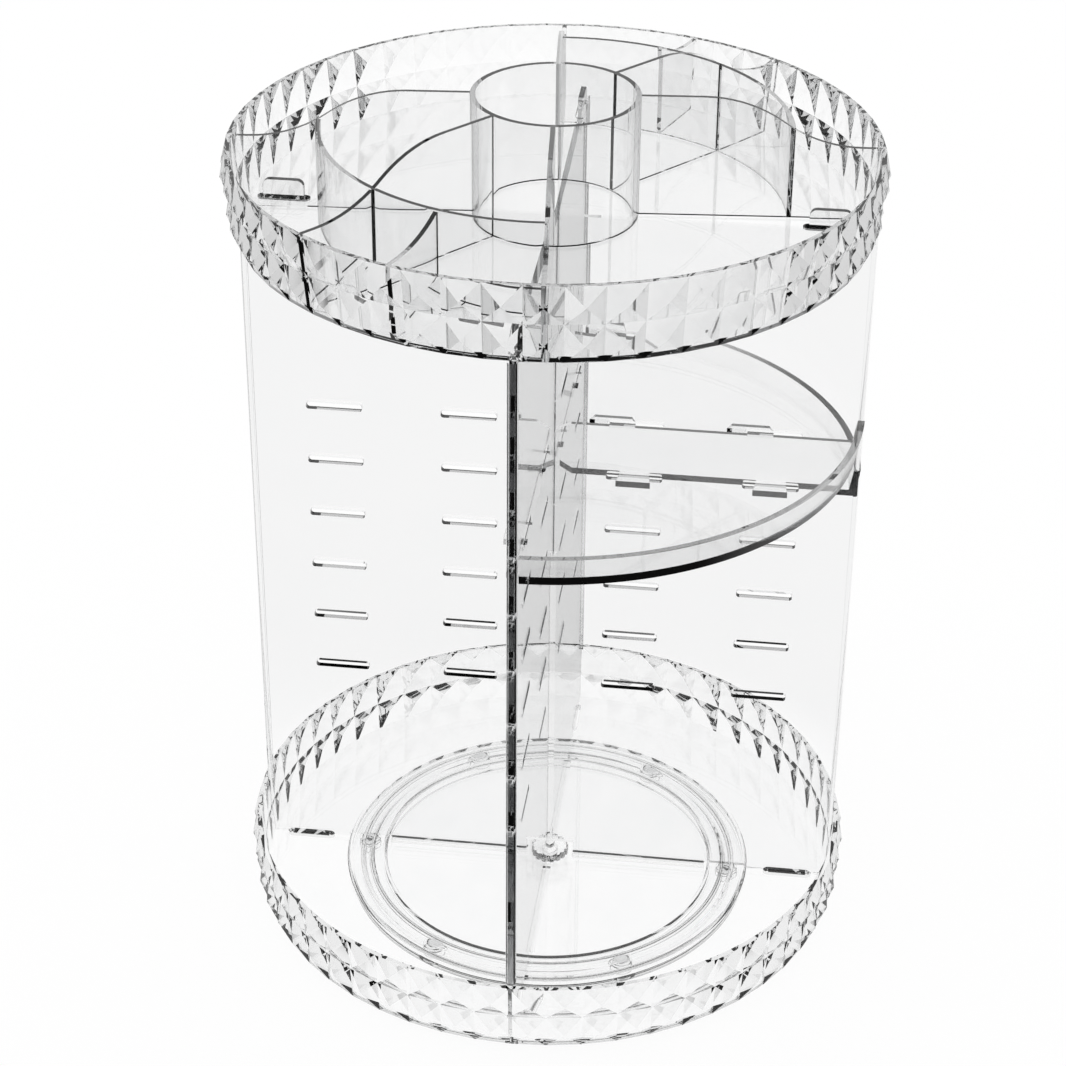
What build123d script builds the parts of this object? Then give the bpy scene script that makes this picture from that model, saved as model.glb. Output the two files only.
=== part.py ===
from build123d import *
import math
import os

# Rotating makeup organizer, in millimetres. +Z is up and the table is z = 0.
# The two upright panels lie along X and Y, the front is -Y, and the turntable turns about Z.

# Clearances shared by the pieces
slip = 0.3
running = 0.08
overrun = 1.0

# Faceted walls of the base and of the top tray: rows of shallow four-sided pyramids
facet_count = 54
facet_rows = 2
facet_rise = 2.4
facet_step = 360 / facet_count
mid_share = 0.5
front_angle = -90

# Base tray
base_gap = 5.0
base_wall_height = 27.2
base_bottom_radius = 110.6
base_rim_radius = 112.6
base_wall = 1.8
base_floor = 2.8

# Raised ring in the base floor that covers the ball track
track_ring_inner = 63.0
track_ring_outer = 78.4
track_ring_rise = 1.5
track_ring_bevel = 0.9
track_cover = 1.2

# Ball bearing between the base and the foot plate
ball_count = 6
ball_radius = 3.0
ball_circle_radius = 70.6
cage_width = 11.6
cage_thickness = 1.2
cage_collar_radius = 4.2
cage_collar_height = 2.4
cage_hole_clearance = 0.2

# Stationary foot plate with its pads and the pivot that holds it to the base
foot_radius = 77.0
foot_ring_inner = 64.2
foot_web = 1.6
foot_ring_height = 2.6
pad_radius = 4.2
pad_thickness = 1.2
pad_recess = 0.6
pad_edge = 0.3
boss_radius = 4.0
cap_radius = 8.2
cap_thickness = 3.0
cap_lift = 0.25
cap_notch_count = 18
cap_notch_radius = 0.7
pin_radius = 1.4
pin_head_radius = 2.9
pin_head_height = 1.6
pin_head_edge = 0.6

# Upright panels
panel_thickness = 2.2
bead_radius = 1.9
panel_height = 272.6
panel_half_width = 110.5
tab_radius = 94.2
tab_length = 14.4
tab_rise = 6.5
tab_play = 1.0
tab_corner = 2.5
groove_inner = 10.0
groove_outer = 62.0
groove_side = 1.45
groove_depth = 1.0
hub_clearance = 1.0
lap_play = 1.2

# Slot grid in each panel
slot_rows = 6
slot_pitch = 22.3
slot_first = 80.2
slot_length = 20.4
slot_height = 2.75
slot_corner = 1.0
slot_column_inner = 30.0
slot_column_outer = 79.1

# Quarter-round shelves: straight tongues on one side, hooks that point inward on the other
shelf_floor = 2.4
shelf_bottom_radius = 109.0
shelf_top_radius = 110.8
shelf_rim_height = 10.4
shelf_rim = 2.4
shelf_gap = 1.1
shelf_seat = 0.1
shelf_corner = 5.0
tongue_width = 10.8
tongue_tip_width = 12.4
tongue_show = 4.9
hook_reach = 16.6
hook_show = 3.9
hook_bevel = 1.7
shelf_places = {"shelf_front_right": (6, -90), "shelf_back_right": (5, 0)}

# Top tray with its cup and dividers
tray_wall_height = 27.6
tray_bottom_radius = 108.6
tray_rim_radius = 111.6
tray_wall = 1.9
tray_floor = 1.9
tray_turn = 5.0
cup_radius = 28.8
cup_wall = 1.8
cup_height = 42.9
divider = 1.6
divider_shoulder = 50.0
divider_toe = 104.0
ring_divider_radius = 80.0
long_divider_angles = (0, 45, 90, 180, 225, 270)
short_divider_angles = (64, 244)
ring_divider_starts = (0, 180)
ring_divider_sweep = 90

# Heights and radii that follow from the sizes above
base_floor_top = base_gap + base_floor
base_rim_top = base_gap + base_wall_height
track_ring_top = base_floor_top + track_ring_rise
ball_height = track_ring_top - track_cover - running - ball_radius
track_radius = ball_radius + running
foot_bottom = pad_thickness - pad_recess
foot_top = foot_bottom + foot_ring_height
boss_top = base_floor_top + cap_lift
cap_top = boss_top + cap_thickness
pin_top = cap_top + pin_head_height
panel_top = base_floor_top + panel_height
panel_middle = base_floor_top + panel_height / 2
tray_floor_top = panel_top + tray_floor
tray_rim_top = panel_top + tray_wall_height
cup_top = tray_floor_top + cup_height
slot_width = panel_thickness + 2 * tab_play
lap_width = panel_thickness + 2 * lap_play
slot_columns = (slot_column_inner, slot_column_outer)
shelf_edge = panel_thickness / 2 + shelf_gap

os.makedirs("parts", exist_ok=True)


def save(piece, name):
    """Label a finished piece and write its STEP file."""
    piece.part.label = name
    export_step(piece.part, f"parts/{name}.step")


def wall_radius(bottom, height, bottom_radius, rim_radius, level):
    """Radius of a drafted wall at a level."""
    return bottom_radius + (rim_radius - bottom_radius) * (level - bottom) / height


def base_inside(level):
    """Inner radius of the base wall at a level."""
    return wall_radius(base_gap, base_wall_height, base_bottom_radius, base_rim_radius, level) - base_wall


def tray_inside(level):
    """Inner radius of the top tray's wall at a level."""
    return wall_radius(panel_top, tray_wall_height, tray_bottom_radius, tray_rim_radius, level) - tray_wall


def polar(radius, angle):
    """Point on a circle about the turntable's axis."""
    return radius * math.cos(math.radians(angle)), radius * math.sin(math.radians(angle))


def upright(angle):
    """Upright plane through the axis, with its x pointing outward at an angle."""
    return Plane(origin=(0, 0, 0), x_dir=(*polar(1, angle), 0), z_dir=(*polar(1, angle - 90), 0))


def faceted_drum(bottom, height, bottom_radius, rim_radius, turn):
    """Closed drum with a pyramid on every cell of its drafted wall."""

    def on_wall(row, column, rise=0):
        level = bottom + height * row / facet_rows
        radius = wall_radius(bottom, height, bottom_radius, rim_radius, level) + rise
        return (*polar(radius, turn + (column % facet_count) * facet_step), level)

    faces = []
    for row in range(facet_rows):
        for column in range(facet_count):
            lower = [on_wall(row, column), on_wall(row, column + 1)]
            upper = [on_wall(row + 1, column + 1), on_wall(row + 1, column)]
            peak = on_wall(row + mid_share, column + mid_share, facet_rise)
            corners = lower + upper
            for index, corner in enumerate(corners):
                faces.append(Face(Wire.make_polygon([corners[index - 1], corner, peak])))
    for row in (0, facet_rows):
        faces.append(Face(Wire.make_polygon([on_wall(row, column) for column in range(facet_count)])))
    return Solid(Shell(faces))


def tab_slots(level, depth):
    """Cut the four slots for the panel tabs down through a tray floor."""
    with BuildSketch(Plane.XY.offset(level)) as slots:
        with PolarLocations(tab_radius, 4):
            SlotCenterToCenter(tab_length, slot_width)
    extrude(slots.sketch, amount=-depth - overrun, mode=Mode.SUBTRACT)


# Base tray: faceted wall, floor with the raised track ring, panel grooves and slots
with BuildPart() as base_tray:
    add(faceted_drum(base_gap, base_wall_height, base_bottom_radius, base_rim_radius, front_angle))
    with BuildSketch(Plane.XZ):
        with BuildLine():
            Polyline(
                (0, base_floor_top),
                (base_inside(base_floor_top), base_floor_top),
                (base_inside(base_rim_top + overrun), base_rim_top + overrun),
                (0, base_rim_top + overrun),
                close=True,
            )
        make_face()
    revolve(axis=Axis.Z, mode=Mode.SUBTRACT)
    with BuildSketch(Plane.XZ):
        with BuildLine():
            Polyline(
                (track_ring_inner, base_gap),
                (track_ring_inner, base_floor_top),
                (track_ring_inner + track_ring_bevel, track_ring_top),
                (track_ring_outer - track_ring_bevel, track_ring_top),
                (track_ring_outer, base_floor_top),
                (track_ring_outer, base_gap),
                close=True,
            )
        make_face()
    revolve(axis=Axis.Z)
    with BuildSketch(Plane.XZ):
        with Locations((ball_circle_radius, base_gap)):
            Rectangle(cage_width + 4 * slip, 2 * track_ring_rise)
        with Locations((ball_circle_radius, ball_height)):
            Circle(track_radius)
    revolve(axis=Axis.Z, mode=Mode.SUBTRACT)
    with BuildSketch(Plane.XY.offset(base_floor_top)):
        Circle(boss_radius + running)
    extrude(amount=-base_floor - overrun, mode=Mode.SUBTRACT)
    with BuildSketch(Plane.XY.offset(base_floor_top)):
        with PolarLocations((groove_inner + groove_outer) / 2, 4):
            Rectangle(groove_outer - groove_inner, panel_thickness + 2 * groove_side)
    extrude(amount=-groove_depth, mode=Mode.SUBTRACT)
    tab_slots(base_floor_top, base_floor)
save(base_tray, "base_tray")

# Foot plate: stationary disc with the lower ball track, pad recesses and the pivot boss
with BuildPart() as foot_plate:
    with BuildSketch(Plane.XZ):
        with BuildLine():
            Polyline(
                (0, foot_top - foot_web),
                (foot_ring_inner, foot_top - foot_web),
                (foot_ring_inner, foot_bottom),
                (foot_radius, foot_bottom),
                (foot_radius, foot_top),
                (boss_radius, foot_top),
                (boss_radius, boss_top),
                (0, boss_top),
                close=True,
            )
        make_face()
        with Locations((ball_circle_radius, ball_height)):
            Circle(track_radius, mode=Mode.SUBTRACT)
    revolve(axis=Axis.Z)
    with BuildSketch(Plane.XY.offset(foot_bottom)):
        with PolarLocations(ball_circle_radius, ball_count):
            Circle(pad_radius + slip)
    extrude(amount=pad_recess, mode=Mode.SUBTRACT)
    with BuildSketch(Plane.XY.offset(boss_top)):
        Circle(pin_radius + running)
    extrude(amount=foot_top - boss_top, mode=Mode.SUBTRACT)
save(foot_plate, "foot_plate")

# Non-slip pads, pressed into the recesses under the foot plate
for number in range(ball_count):
    pad_centre = (*polar(ball_circle_radius, number * 360 / ball_count), 0)
    with BuildPart() as foot_pad:
        with BuildSketch(Plane(origin=pad_centre)):
            Circle(pad_radius)
        extrude(amount=pad_thickness)
        chamfer(foot_pad.faces().sort_by(Axis.Z)[0].edges(), pad_edge)
    save(foot_pad, f"foot_pad_{number + 1}")

# Bearing balls
for number in range(ball_count):
    ball_centre = (*polar(ball_circle_radius, number * 360 / ball_count), ball_height)
    with BuildPart(Plane(origin=ball_centre)) as bearing_ball:
        Sphere(ball_radius)
    save(bearing_ball, f"bearing_ball_{number + 1}")

# Ball cage: flat ring with a collar round every ball
with BuildPart() as ball_cage:
    with BuildSketch(Plane.XY.offset(ball_height - cage_thickness / 2)):
        Circle(ball_circle_radius + cage_width / 2)
        Circle(ball_circle_radius - cage_width / 2, mode=Mode.SUBTRACT)
    extrude(amount=cage_thickness)
    with BuildSketch(Plane.XY.offset(ball_height - cage_collar_height / 2)):
        with PolarLocations(ball_circle_radius, ball_count):
            Circle(cage_collar_radius)
    extrude(amount=cage_collar_height)
    with BuildSketch(Plane.XY.offset(ball_height - cage_collar_height / 2)):
        with PolarLocations(ball_circle_radius, ball_count):
            Circle(ball_radius + cage_hole_clearance)
    extrude(amount=cage_collar_height, mode=Mode.SUBTRACT)
save(ball_cage, "ball_cage")

# Pivot cap: notched disc on the boss that keeps the base from lifting off
with BuildPart() as pivot_cap:
    with BuildSketch(Plane.XY.offset(boss_top)):
        Circle(cap_radius)
        with PolarLocations(cap_radius, cap_notch_count):
            Circle(cap_notch_radius, mode=Mode.SUBTRACT)
        Circle(pin_radius + running, mode=Mode.SUBTRACT)
    extrude(amount=cap_thickness)
save(pivot_cap, "pivot_cap")

# Pivot pin: domed head on the cap, shank pressed down into the boss
with BuildPart() as pivot_pin:
    with BuildSketch(Plane.XY.offset(cap_top)):
        Circle(pin_head_radius)
    extrude(amount=pin_head_height)
    fillet(pivot_pin.faces().sort_by(Axis.Z)[-1].edges(), pin_head_edge)
    with BuildSketch(Plane.XY.offset(cap_top)):
        Circle(pin_radius)
    extrude(amount=foot_top - cap_top)
save(pivot_pin, "pivot_pin")


def upright_panel(name, plane, lap_level, lap_edge):
    """One upright panel with tabs, slots, edge beads and pivot notch, halved from lap level to lap edge."""
    tab_inner = tab_radius - tab_length / 2
    tab_outer = tab_radius + tab_length / 2
    tab_top = tray_floor_top + tab_rise
    groove_floor = base_floor_top - groove_depth
    notch_top = pin_top + hub_clearance
    slot_middle = base_floor_top + slot_first + slot_height / 2
    with BuildPart() as panel:
        with BuildSketch(plane) as outline:
            with BuildLine():
                Polyline(
                    (0, notch_top),
                    (groove_inner + slip, notch_top),
                    (groove_inner + slip, groove_floor),
                    (groove_outer - slip, groove_floor),
                    (groove_outer - slip, track_ring_top),
                    (track_ring_outer + slip, track_ring_top),
                    (track_ring_outer + slip, base_floor_top),
                    (tab_inner, base_floor_top),
                    (tab_inner, base_gap + slip),
                    (tab_outer, base_gap + slip),
                    (tab_outer, base_floor_top),
                    (base_inside(base_floor_top) - slip, base_floor_top),
                    (panel_half_width, base_rim_top),
                    (panel_half_width, panel_top),
                    (tab_outer, panel_top),
                    (tab_outer, tab_top),
                    (tab_inner, tab_top),
                    (tab_inner, panel_top),
                    (0, panel_top),
                )
                mirror(about=Plane.YZ)
            make_face()
            fillet(outline.vertices().group_by(Axis.Y)[-1], tab_corner)
            for row in range(slot_rows):
                for column in slot_columns:
                    level = slot_middle + row * slot_pitch
                    with Locations((column, level), (-column, level)):
                        RectangleRounded(slot_length, slot_height, slot_corner, mode=Mode.SUBTRACT)
            with Locations((0, (lap_level + lap_edge) / 2)):
                Rectangle(lap_width, abs(lap_edge - lap_level), mode=Mode.SUBTRACT)
        extrude(amount=panel_thickness / 2, both=True)
        for side in (-1, 1):
            bead_foot = plane.from_local_coords((side * (panel_half_width - bead_radius), base_rim_top, 0))
            with BuildSketch(Plane(origin=bead_foot, x_dir=plane.x_dir * side)):
                Circle(bead_radius)
                Rectangle(bead_radius, 2 * bead_radius, align=(Align.MAX, Align.CENTER), mode=Mode.SUBTRACT)
            extrude(amount=panel_top - base_rim_top)
    save(panel, name)


# Upright panels: the left-right one drops over the front-back one at a halved joint
upright_panel("panel_left_right", upright(0), panel_middle + slip, base_gap)
upright_panel("panel_front_back", upright(90), panel_middle - slip, panel_top)


def shelf(name, row, turn):
    """Quarter-round shelf with a flared rim, held by its tongues and hooks in one row of slots."""
    level = base_floor_top + slot_first + (row - 1) * slot_pitch + shelf_seat
    plane = Plane(origin=(0, 0, level), x_dir=(*polar(1, turn), 0))
    floor_radius = wall_radius(0, shelf_rim_height, shelf_bottom_radius, shelf_top_radius, shelf_floor)
    inner_radius = floor_radius - shelf_rim
    reach = shelf_top_radius + overrun
    through = shelf_gap + panel_thickness
    tongue = through + tongue_show
    half = tongue_width / 2
    tip = tongue_tip_width / 2
    neck = slot_length / 2 - slot_corner
    with BuildPart() as tray:
        with BuildSketch(Plane(origin=plane.origin, x_dir=plane.x_dir, z_dir=-plane.y_dir)):
            with BuildLine():
                Polyline(
                    (0, 0),
                    (shelf_bottom_radius, 0),
                    (shelf_top_radius, shelf_rim_height),
                    (shelf_top_radius - shelf_rim, shelf_rim_height),
                    (inner_radius, shelf_floor),
                    (0, shelf_floor),
                    close=True,
                )
            make_face()
        revolve(axis=Axis.Z)
        with BuildSketch(plane):
            with BuildLine():
                Polyline(
                    (shelf_edge + shelf_corner, shelf_edge),
                    (reach, shelf_edge),
                    (reach, reach),
                    (shelf_edge, reach),
                    (shelf_edge, shelf_edge + shelf_corner),
                    close=True,
                )
            make_face()
        extrude(amount=shelf_rim_height, mode=Mode.INTERSECT)
        with BuildSketch(plane):
            for column in slot_columns:
                with Locations((column, shelf_edge)):
                    Polygon(
                        (-half, 0),
                        (-half, -through),
                        (-tip, -tongue),
                        (tip, -tongue),
                        (half, -through),
                        (half, 0),
                        align=None,
                    )
                with Locations(Location((shelf_edge, column), -90)):
                    Polygon(
                        (0, 0),
                        (0, -through - slip),
                        (hook_bevel, -through - hook_show),
                        (hook_reach - hook_bevel, -through - hook_show),
                        (hook_reach, -through - slip),
                        (neck, -through - slip),
                        (neck, 0),
                        align=None,
                    )
        extrude(amount=shelf_floor)
    save(tray, name)


# Shelves: one in the top row at the front right, one a row lower at the back right
for shelf_name, (shelf_row, shelf_turn) in shelf_places.items():
    shelf(shelf_name, shelf_row, shelf_turn)

# Dividers fall from the cup's height to the rim in an S of two equal arcs
fall = cup_top - tray_rim_top
fall_length = divider_toe - divider_shoulder
fall_radius = (fall_length**2 + fall**2) / (4 * fall)
fall_middle = ((divider_shoulder + divider_toe) / 2, (cup_top + tray_rim_top) / 2)
ring_run = divider_toe - ring_divider_radius
ring_divider_top = tray_rim_top + fall_radius - math.sqrt(fall_radius**2 - ring_run**2)


def divider_wall(angle, start, start_top):
    """Radial divider from a start radius out into the tray wall."""
    with BuildSketch(upright(angle + tray_turn)) as side:
        with BuildLine():
            if start < divider_shoulder:
                Line((start, start_top), (divider_shoulder, cup_top))
                shoulder = TangentArc((divider_shoulder, cup_top), fall_middle, tangent=(1, 0))
                TangentArc(fall_middle, (divider_toe, tray_rim_top), tangent=shoulder % 1)
            else:
                TangentArc((divider_toe, tray_rim_top), (start, start_top), tangent=(-1, 0))
            Polyline(
                (divider_toe, tray_rim_top),
                (tray_inside(tray_rim_top) + tray_wall / 2, tray_rim_top),
                (tray_inside(tray_floor_top) + tray_wall / 2, tray_floor_top - tray_floor / 2),
                (start, tray_floor_top - tray_floor / 2),
                (start, start_top),
            )
        make_face()
    extrude(side.sketch, amount=divider / 2, both=True)


# Top tray: faceted wall, floor with tab slots, central cup and dividers
with BuildPart() as top_tray:
    add(
        faceted_drum(
            panel_top, tray_wall_height, tray_bottom_radius, tray_rim_radius,
            front_angle + tray_turn + facet_step * mid_share,
        )
    )
    with BuildSketch(Plane.XZ):
        with BuildLine():
            Polyline(
                (0, tray_floor_top),
                (tray_inside(tray_floor_top), tray_floor_top),
                (tray_inside(tray_rim_top + overrun), tray_rim_top + overrun),
                (0, tray_rim_top + overrun),
                close=True,
            )
        make_face()
    revolve(axis=Axis.Z, mode=Mode.SUBTRACT)
    for divider_angle in long_divider_angles:
        divider_wall(divider_angle, cup_radius - cup_wall / 2, cup_top)
    for divider_angle in short_divider_angles:
        divider_wall(divider_angle, ring_divider_radius, ring_divider_top)
    with BuildSketch(Plane.XY.offset(tray_floor_top)):
        for ring_start in ring_divider_starts:
            with BuildLine():
                CenterArc((0, 0), ring_divider_radius, ring_start + tray_turn, ring_divider_sweep)
            trace(line_width=divider)
    extrude(amount=ring_divider_top - tray_floor_top)
    with BuildSketch(Plane.XY.offset(tray_floor_top)):
        Circle(cup_radius)
        Circle(cup_radius - cup_wall, mode=Mode.SUBTRACT)
    extrude(amount=cup_height)
    tab_slots(tray_floor_top, tray_floor)
save(top_tray, "top_tray")
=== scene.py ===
import math

import bpy
from mathutils import Matrix, Vector


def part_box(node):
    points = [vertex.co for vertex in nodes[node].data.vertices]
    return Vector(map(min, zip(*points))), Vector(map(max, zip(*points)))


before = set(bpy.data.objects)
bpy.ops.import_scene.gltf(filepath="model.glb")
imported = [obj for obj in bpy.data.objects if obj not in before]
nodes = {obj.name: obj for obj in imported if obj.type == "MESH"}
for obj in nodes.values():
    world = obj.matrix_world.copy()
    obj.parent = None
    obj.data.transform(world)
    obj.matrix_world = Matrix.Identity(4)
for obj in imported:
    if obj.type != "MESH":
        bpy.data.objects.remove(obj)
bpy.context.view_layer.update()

# Lengths are in metres unless a name says otherwise

# Photograph's camera, solved for a 1066 x 1066 picture (millimetres and degrees)
PICTURE = 1066
FOCAL_PX = 2751.0
CAMERA_MM = (98.64, -858.2, 673.7)
YAW, PITCH, ROLL = -6.99, 31.05, 0.43
SENSOR_MM = 36.0
MM_PER_M = 1000
CLIP_NEAR, CLIP_FAR = 0.01, 100

# Clear plastics: the index of refraction, the colour that absorption leaves and the moulding waves
ACRYLIC_IOR = 1.49
SOFT_IOR = 1.42
ABSORBED = (0.5, 0.505, 0.51, 1)
WAVE_DETAIL = 1.0
WAVE_HEIGHT = 0.0005
TINT_FROM, TINT_TO = 0.3, 0.7
TINT_COOL = (0.0, 0.002, 0.003)

# Shares of a face's normal: level faces look up or down, steep ones sideways, and square ones along Y
OPEN_END = 9.0
LEVEL = (0.9, OPEN_END)
STEEP = (-OPEN_END, 0.5)
BELOW_DOME = (-OPEN_END, 0.8)
SQUARE = (0.9, OPEN_END)

# Heights in the frame that the zones of the materials follow
base_bottom, base_rim = (corner[2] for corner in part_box("base_tray"))
tray_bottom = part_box("top_tray")[0][2]
pad_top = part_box("foot_pad_1")[1][2]
cap_bottom, cap_top = (corner[2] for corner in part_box("pivot_cap"))
pin_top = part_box("pivot_pin")[1][2]
back_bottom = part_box("shelf_back_right")[0][2]
rim_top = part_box("shelf_back_right")[1][2]
front_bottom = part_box("shelf_front_right")[0][2]
front_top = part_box("shelf_front_right")[1][2]

# Margins of the zones about the faces that they take in or leave out
PAD_MARGIN = 0.00005
CAP_TOP_MARGIN = 0.00005
CAP_MARGIN = 0.00015
EDGE_MARGIN = 0.0001
SHELF_MARGIN = 0.0002
PANEL_MARGIN = 0.0003
END_MARGIN = 0.0008

# Balls in the cage, and pads under the foot plate
RING_COUNT = 6

# Limits of the zones: heights, and distances from the axis and from the panels
SHELF_FLOOR = 0.0024
PANEL_FEET = 0.0048
PIN_HOLE_REACH = 0.0016
BOSS_REACH = 0.0041
CAP_SIDE = (0.0070, 0.0090)
SHELF_RIM_START = 0.105
SHELF_END_START = 0.100
SHELF_END_Y = 0.006
PANEL_EDGE_START = 0.1100
FAR = 1.0

# Base colour of the painted shade on the dark edges, and roughness of the matt rim
BACK_SHELF_EDGE_PAINTED_SHADE = 0.15
BACK_SHELF_END_PAINTED_SHADE = 0.03
FRONT_SHELF_EDGE_PAINTED_SHADE = 0.1
FRONT_SHELF_RIM_PAINTED_SHADE = 0.35
CAP_EDGE_PAINTED_SHADE = 0.4
PIN_EDGE_PAINTED_SHADE = 0.3
PANEL_EDGE_PAINTED_SHADE = 0.1
RIM_ROUGHNESS = 0.8

# Floor: its size and place, and its brightness as seen straight, through clear pieces and in reflections
FLOOR_HALF = 4.0
FLOOR_Z = -0.0003
FLOOR_MATT = 0.06
FLOOR_OPEN = 0.945
FLOOR_SEEN = 0.975
FLOOR_BACK = 0.68
FLOOR_FRONT = 0.03
FLOOR_NEAR = 0.85
NEAR_REACH, FAR_REACH = 0.13, 0.17
FLOOR_DARK_Y, FLOOR_WHITE_Y = -0.16, -0.03
REFLECTED_OVER = 0.5

# Brightness of the studio by the z of the direction, where 1 is straight up
STUDIO_STOPS = [
    (0.0, 0.95),
    (0.45, 0.95),
    (0.47, 1.0),
    (0.533, 1.0),
    (0.540, 0.02),
    (0.562, 0.02),
    (0.575, 0.95),
    (1.0, 0.95),
]
WHITE = (1, 1, 1, 1)

# Bounces of light that the nested clear walls need
CLEAR_BOUNCES = 32
GLOSSY_BOUNCES = 8


def grey(value):
    """Opaque grey as a node colour."""
    return value, value, value, 1


def link(tree, a, out, b, into):
    """Join an output of one node to an input of another."""
    tree.links.new(a.outputs[out], b.inputs[into])


def feed(tree, value, socket):
    """Set a socket to a number, or join another socket to it."""
    if isinstance(value, (int, float)):
        socket.default_value = value
    else:
        tree.links.new(value, socket)


def math_node(tree, operation, *values):
    """Output of a Math node whose inputs are numbers or sockets."""
    node = tree.nodes.new("ShaderNodeMath")
    node.operation = operation
    for index, value in enumerate(values):
        feed(tree, value, node.inputs[index])
    return node.outputs["Value"]


def smooth_step(tree, value, limits, results):
    """Smooth change from the first result to the second while a value goes from one limit to the other."""
    node = tree.nodes.new("ShaderNodeMapRange")
    node.interpolation_type = "SMOOTHSTEP"
    node.inputs["From Min"].default_value, node.inputs["From Max"].default_value = limits
    node.inputs["To Min"].default_value, node.inputs["To Max"].default_value = results
    tree.links.new(value, node.inputs["Value"])
    return node.outputs["Result"]


def choose(tree, share, plain, other):
    """Mix of two numbers or sockets: the plain one at a share of 0, the other at 1."""
    node = tree.nodes.new("ShaderNodeMix")
    node.data_type = "FLOAT"
    tree.links.new(share, node.inputs["Factor"])
    feed(tree, plain, node.inputs["A"])
    feed(tree, other, node.inputs["B"])
    return node.outputs["Result"]


def new_material(name):
    """Empty node material with its output."""
    material = bpy.data.materials.new(name)
    material.use_nodes = True
    tree = material.node_tree
    tree.nodes.clear()
    output = tree.nodes.new("ShaderNodeOutputMaterial")
    return material, tree, output


def clear_plastic(
    name, density, wave_scale, wave_strength, roughness=0.0, ior=ACRYLIC_IOR, tint_low=0.985, tint_high=1.0
):
    """Clear moulded plastic: full transmission, grey absorption on the way through, faint moulding waves."""
    material, tree, output = new_material(name)
    shader = tree.nodes.new("ShaderNodeBsdfPrincipled")
    shader.inputs["Transmission Weight"].default_value = 1.0
    shader.inputs["IOR"].default_value = ior
    coords = tree.nodes.new("ShaderNodeTexCoord")
    waves = tree.nodes.new("ShaderNodeTexNoise")
    waves.inputs["Scale"].default_value = wave_scale
    waves.inputs["Detail"].default_value = WAVE_DETAIL
    link(tree, coords, "Object", waves, "Vector")
    tint = tree.nodes.new("ShaderNodeValToRGB")
    low, high = tint.color_ramp.elements
    low.position = TINT_FROM
    low.color = (*(tint_low + cool for cool in TINT_COOL), 1)
    high.position = TINT_TO
    high.color = grey(tint_high)
    link(tree, waves, "Fac", tint, "Fac")
    link(tree, tint, "Color", shader, "Base Color")
    shader.inputs["Roughness"].default_value = 0.0
    if roughness:
        gloss = tree.nodes.new("ShaderNodeMapRange")
        gloss.inputs["To Min"].default_value = 0.0
        gloss.inputs["To Max"].default_value = roughness
        link(tree, waves, "Fac", gloss, "Value")
        link(tree, gloss, "Result", shader, "Roughness")
    bump = tree.nodes.new("ShaderNodeBump")
    bump.inputs["Strength"].default_value = wave_strength
    bump.inputs["Distance"].default_value = WAVE_HEIGHT
    link(tree, waves, "Fac", bump, "Height")
    link(tree, bump, "Normal", shader, "Normal")
    link(tree, shader, "BSDF", output, "Surface")
    volume = tree.nodes.new("ShaderNodeVolumeAbsorption")
    volume.inputs["Color"].default_value = ABSORBED
    volume.inputs["Density"].default_value = density
    link(tree, volume, "Volume", output, "Volume")
    return material


def zone_mask(tree, zones):
    """One inside any zone: ranges of z, y, radius from the axis, and the normal's upright or front share."""
    coords = tree.nodes.new("ShaderNodeTexCoord")
    place = tree.nodes.new("ShaderNodeSeparateXYZ")
    link(tree, coords, "Object", place, "Vector")
    facing = tree.nodes.new("ShaderNodeSeparateXYZ")
    link(tree, coords, "Normal", facing, "Vector")
    x, y, z = (place.outputs[axis] for axis in "XYZ")
    squares = [math_node(tree, "MULTIPLY", side, side) for side in (x, y)]
    measures = {
        "z": z,
        "y": y,
        "radius": math_node(tree, "SQRT", math_node(tree, "ADD", *squares)),
        "upright": math_node(tree, "ABSOLUTE", facing.outputs["Z"]),
        "front": math_node(tree, "ABSOLUTE", facing.outputs["Y"]),
    }
    mask = None
    for zone in zones:
        inside = None
        for measure, (low, high) in zone.items():
            for operation, limit in (("GREATER_THAN", low), ("LESS_THAN", high)):
                test = math_node(tree, operation, measures[measure], limit)
                inside = test if inside is None else math_node(tree, "MULTIPLY", inside, test)
        mask = inside if mask is None else math_node(tree, "MAXIMUM", mask, inside)
    return mask


def principled(material):
    """Shader node of a clear plastic."""
    return next(node for node in material.node_tree.nodes if node.type == "BSDF_PRINCIPLED")


def close_contact(material, *zones):
    """Let light pass where a piece sits tight on its neighbour, as in optical contact."""
    tree = material.node_tree
    closed = math_node(tree, "SUBTRACT", 1.0, zone_mask(tree, zones))
    tree.links.new(closed, principled(material).inputs["Alpha"])


def painted_edge_shade(material, shade, *zones):
    """Painted shade: a darker base colour on the narrow edge faces, where clear sheet looks dark along its
    cut.
    """
    tree = material.node_tree
    shader = principled(material)
    plain = shader.inputs["Base Color"].links[0].from_socket
    mix = tree.nodes.new("ShaderNodeMixRGB")
    tree.links.new(zone_mask(tree, zones), mix.inputs["Fac"])
    tree.links.new(plain, mix.inputs["Color1"])
    mix.inputs["Color2"].default_value = grey(shade)
    link(tree, mix, "Color", shader, "Base Color")


def frost(material, roughness, *zones):
    """Make the faces in these zones matt, as a moulded rim's top is."""
    tree = material.node_tree
    matt = math_node(tree, "MULTIPLY", zone_mask(tree, zones), roughness)
    tree.links.new(matt, principled(material).inputs["Roughness"])


def around(level, margin):
    """Narrow range of heights about a level face."""
    return level - margin, level + margin


def dress(material, *names):
    """Give a material to whole nodes."""
    for name in names:
        for slot in nodes[name].material_slots:
            slot.material = material


def numbered(name):
    """Names of the nodes that stand in a ring."""
    return [f"{name}_{number}" for number in range(1, RING_COUNT + 1)]


# Base tray
base_clear = clear_plastic("base_clear", density=4.0, wave_scale=60.0, wave_strength=0.02)
dress(base_clear, "base_tray")

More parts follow.
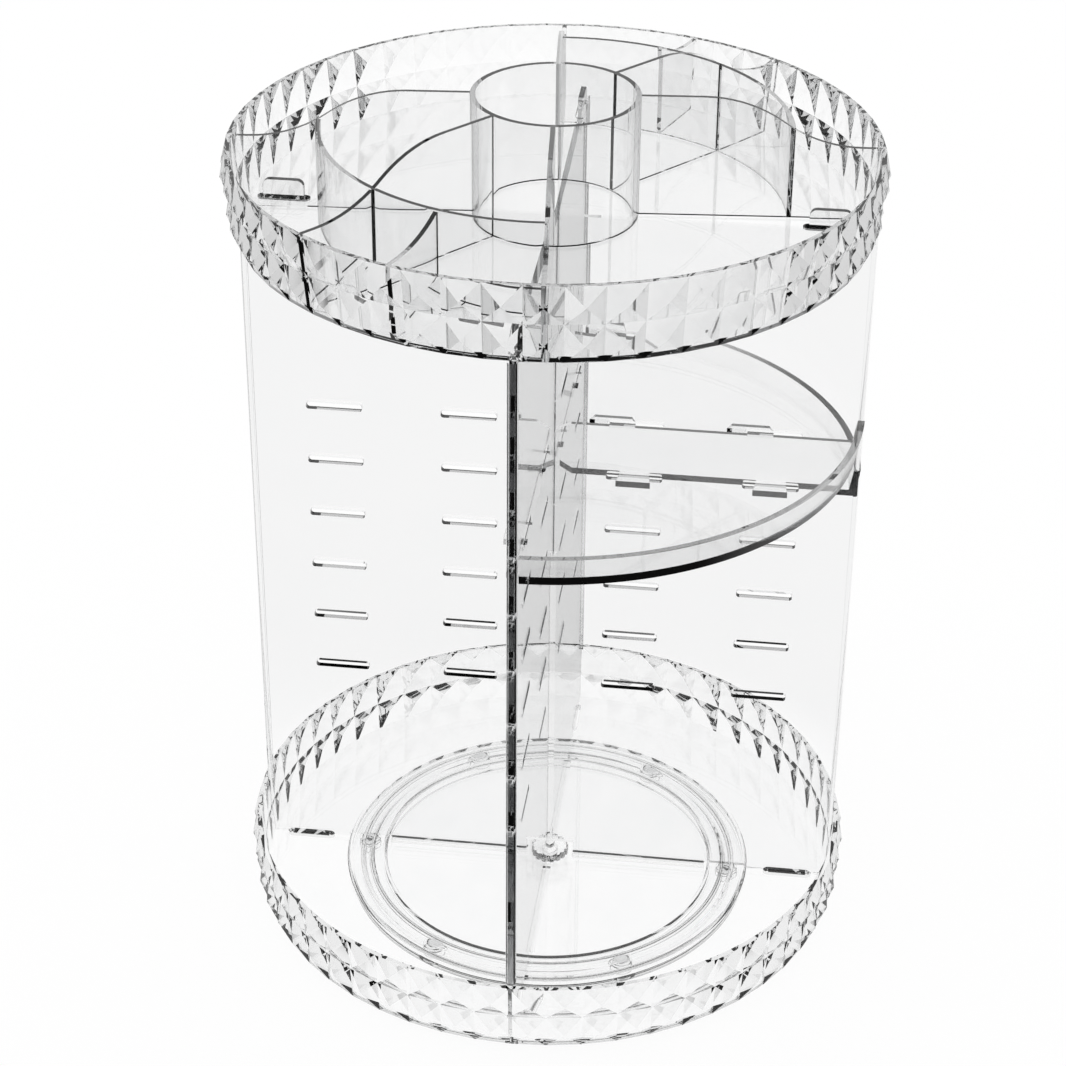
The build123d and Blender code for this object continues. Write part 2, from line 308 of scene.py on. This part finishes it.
# Top tray
tray_clear = clear_plastic("tray_clear", density=16.0, wave_scale=60.0, wave_strength=0.02)
dress(tray_clear, "top_tray")

# Upright panels: open to light where they stand on the base and carry the tray, with painted shade on their
# side edges at the base wall
panel_clear = clear_plastic(
    "panel_clear", density=20.0, wave_scale=25.0, wave_strength=0.01, tint_low=0.97, tint_high=0.98
)
close_contact(
    panel_clear,
    {"z": (base_bottom, base_bottom + PANEL_FEET), "upright": LEVEL},
    {"z": around(tray_bottom, PANEL_MARGIN), "upright": LEVEL},
)
# Painted shade: a darker base colour on the panels' side edges within the base wall's height
painted_edge_shade(
    panel_clear,
    PANEL_EDGE_PAINTED_SHADE,
    {"z": (base_bottom, base_rim + PANEL_MARGIN), "radius": (PANEL_EDGE_START, FAR), "upright": STEEP},
)
dress(panel_clear, "panel_left_right", "panel_front_back")

# Front shelf: painted shade on the outer edge of its floor and on its rim top
shelf_clear = clear_plastic("shelf_clear", density=24.0, wave_scale=40.0, wave_strength=0.02)
front_floor = (front_bottom - SHELF_MARGIN, front_bottom + SHELF_FLOOR + EDGE_MARGIN)
# Painted shade: a darker base colour on the outer edge of the shelf's floor
painted_edge_shade(
    shelf_clear,
    FRONT_SHELF_EDGE_PAINTED_SHADE,
    {"z": front_floor, "radius": (SHELF_RIM_START, FAR), "upright": STEEP},
)
# Painted shade: a darker base colour on the rim top
painted_edge_shade(shelf_clear, FRONT_SHELF_RIM_PAINTED_SHADE, {"z": around(front_top, SHELF_MARGIN), "upright": LEVEL})
dress(shelf_clear, "shelf_front_right")

# Back shelf: matt rim top, and painted shade on its straight edges and on the end of its rim
back_shelf_clear = clear_plastic("back_shelf_clear", density=24.0, wave_scale=40.0, wave_strength=0.02)
frost(back_shelf_clear, RIM_ROUGHNESS, {"z": around(rim_top, SHELF_MARGIN), "upright": LEVEL})
back_floor = (back_bottom - SHELF_MARGIN, back_bottom + SHELF_FLOOR + SHELF_MARGIN)
# Painted shade: a darker base colour on the shelf's straight edges
painted_edge_shade(
    back_shelf_clear,
    BACK_SHELF_EDGE_PAINTED_SHADE,
    {"z": back_floor, "radius": (-FAR, SHELF_RIM_START), "upright": STEEP},
)
# Painted shade: a near-black base colour on the end face of the rim
painted_edge_shade(
    back_shelf_clear,
    BACK_SHELF_END_PAINTED_SHADE,
    {
        "z": (back_bottom - SHELF_MARGIN, rim_top + END_MARGIN),
        "radius": (SHELF_END_START, FAR),
        "upright": STEEP,
        "front": SQUARE,
        "y": (-SHELF_END_Y, SHELF_END_Y),
    },
)
dress(back_shelf_clear, "shelf_back_right")

# Foot plate, cage and cap: open to light round the pin, under the cap and over the pads, with painted shade
# on the cap's side
below_head = (0.0, cap_top + CAP_MARGIN)
fitting_clear = clear_plastic("fitting_clear", density=3.0, wave_scale=120.0, wave_strength=0.02)
close_contact(
    fitting_clear,
    {"z": below_head, "radius": (-FAR, PIN_HOLE_REACH)},
    {"z": around(cap_bottom, CAP_MARGIN), "radius": (-FAR, BOSS_REACH), "upright": LEVEL},
    {"z": around(pad_top, PAD_MARGIN), "upright": LEVEL},
)
# Painted shade: a darker base colour on the cap's side
painted_edge_shade(
    fitting_clear,
    CAP_EDGE_PAINTED_SHADE,
    {"z": (cap_bottom + CAP_MARGIN, cap_top - CAP_TOP_MARGIN), "radius": CAP_SIDE, "upright": STEEP},
)
dress(fitting_clear, "foot_plate", "ball_cage", "pivot_cap")

# Pivot pin: open to light below its head, with painted shade round the head
pin_clear = clear_plastic("pin_clear", density=3.0, wave_scale=120.0, wave_strength=0.02)
close_contact(pin_clear, {"z": below_head})
# Painted shade: a darker base colour on the side of the pin's head
painted_edge_shade(pin_clear, PIN_EDGE_PAINTED_SHADE, {"z": (cap_top + CAP_MARGIN, pin_top + CAP_MARGIN), "upright": BELOW_DOME})
dress(pin_clear, "pivot_pin")

# Bearing balls
ball_clear = clear_plastic("ball_clear", density=110.0, wave_scale=150.0, wave_strength=0.0)
dress(ball_clear, *numbered("bearing_ball"))

# Soft pads, open to light where they touch the foot plate
pad_clear = clear_plastic(
    "pad_clear", density=20.0, wave_scale=300.0, wave_strength=0.1, roughness=0.1, ior=SOFT_IOR
)
close_contact(pad_clear, {"z": around(pad_top, PAD_MARGIN), "upright": LEVEL})
dress(pad_clear, *numbered("foot_pad"))


def floor_level(tree):
    """Brightness of the floor for each kind of ray that sees it."""
    light = tree.nodes.new("ShaderNodeLightPath")
    coords = tree.nodes.new("ShaderNodeTexCoord")
    away = tree.nodes.new("ShaderNodeVectorMath")
    away.operation = "LENGTH"
    link(tree, coords, "Object", away, 0)
    place = tree.nodes.new("ShaderNodeSeparateXYZ")
    link(tree, coords, "Object", place, "Vector")
    # Light that was reflected on its way sees the floor fall off towards the front, as in a dark studio
    from_front = (FLOOR_DARK_Y, FLOOR_WHITE_Y)
    behind = smooth_step(tree, place.outputs["Y"], from_front, (FLOOR_FRONT, FLOOR_BACK))
    from_object = (NEAR_REACH, FAR_REACH)
    nearby = smooth_step(tree, away.outputs["Value"], from_object, (FLOOR_NEAR, 0.0))
    falloff = math_node(tree, "MAXIMUM", behind, nearby)
    mirrored = math_node(tree, "GREATER_THAN", light.outputs["Glossy Depth"], REFLECTED_OVER)
    level = choose(tree, mirrored, FLOOR_SEEN, falloff)
    shown = choose(tree, light.outputs["Is Camera Ray"], level, FLOOR_OPEN)
    seen = math_node(tree, "MAXIMUM", light.outputs["Is Camera Ray"], light.outputs["Is Glossy Ray"])
    seen_too = math_node(tree, "MAXIMUM", seen, light.outputs["Is Transmission Ray"])
    return math_node(tree, "MULTIPLY", seen_too, shown)


def floor():
    """Pale floor that shows white and keeps a faint shadow."""
    mesh = bpy.data.meshes.new("floor")
    low, high = -FLOOR_HALF, FLOOR_HALF
    corners = [(low, low, 0), (high, low, 0), (high, high, 0), (low, high, 0)]
    mesh.from_pydata(corners, [], [(0, 1, 2, 3)])
    plane = bpy.data.objects.new("floor", mesh)
    plane.location = (0, 0, FLOOR_Z)
    bpy.context.scene.collection.objects.link(plane)
    material, tree, output = new_material("floor_white")
    glow = tree.nodes.new("ShaderNodeEmission")
    glow.inputs["Color"].default_value = WHITE
    tree.links.new(floor_level(tree), glow.inputs["Strength"])
    matt = tree.nodes.new("ShaderNodeBsdfDiffuse")
    matt.inputs["Color"].default_value = grey(FLOOR_MATT)
    both = tree.nodes.new("ShaderNodeAddShader")
    link(tree, glow, "Emission", both, 0)
    link(tree, matt, "BSDF", both, 1)
    link(tree, both, "Shader", output, "Surface")
    mesh.materials.append(material)


def studio():
    """Soft light from all round with a narrow dark band, which draws the dark lines in the clear edges."""
    world = bpy.data.worlds.new("studio")
    bpy.context.scene.world = world
    world.use_nodes = True
    tree = world.node_tree
    tree.nodes.clear()
    output = tree.nodes.new("ShaderNodeOutputWorld")
    back = tree.nodes.new("ShaderNodeBackground")
    coords = tree.nodes.new("ShaderNodeTexCoord")
    split = tree.nodes.new("ShaderNodeSeparateXYZ")
    link(tree, coords, "Generated", split, "Vector")
    ramp = tree.nodes.new("ShaderNodeValToRGB")
    elements = ramp.color_ramp.elements
    for place, _ in STUDIO_STOPS[1:-1]:
        elements.new(place)
    for element, (place, value) in zip(elements, STUDIO_STOPS):
        element.position = place
        element.color = grey(value)
    link(tree, split, "Z", ramp, "Fac")
    light = tree.nodes.new("ShaderNodeLightPath")
    mix = tree.nodes.new("ShaderNodeMixRGB")
    link(tree, light, "Is Camera Ray", mix, "Fac")
    link(tree, ramp, "Color", mix, "Color1")
    mix.inputs["Color2"].default_value = WHITE
    link(tree, mix, "Color", back, "Color")
    link(tree, back, "Background", output, "Surface")


def camera():
    """Camera at the photograph's angle."""
    data = bpy.data.cameras.new("camera")
    data.sensor_width = SENSOR_MM
    data.lens = FOCAL_PX / PICTURE * SENSOR_MM
    data.clip_start = CLIP_NEAR
    data.clip_end = CLIP_FAR
    eye = bpy.data.objects.new("camera", data)
    bpy.context.scene.collection.objects.link(eye)
    yaw, pitch, roll = (math.radians(value) for value in (YAW, PITCH, ROLL))
    ahead = Vector((math.sin(yaw) * math.cos(pitch), math.cos(yaw) * math.cos(pitch), -math.sin(pitch)))
    right = Vector((math.cos(yaw), -math.sin(yaw), 0))
    up = right.cross(ahead)
    turned_right = math.cos(roll) * right + math.sin(roll) * up
    turned_up = -math.sin(roll) * right + math.cos(roll) * up
    matrix = Matrix((turned_right, turned_up, -ahead)).transposed().to_4x4()
    matrix.translation = Vector(CAMERA_MM) / MM_PER_M
    eye.matrix_world = matrix
    bpy.context.scene.camera = eye


floor()
studio()
camera()

scene = bpy.context.scene
scene.view_settings.view_transform = "Standard"
scene.cycles.max_bounces = CLEAR_BOUNCES
scene.cycles.transmission_bounces = CLEAR_BOUNCES
scene.cycles.glossy_bounces = GLOSSY_BOUNCES
scene.cycles.transparent_max_bounces = CLEAR_BOUNCES
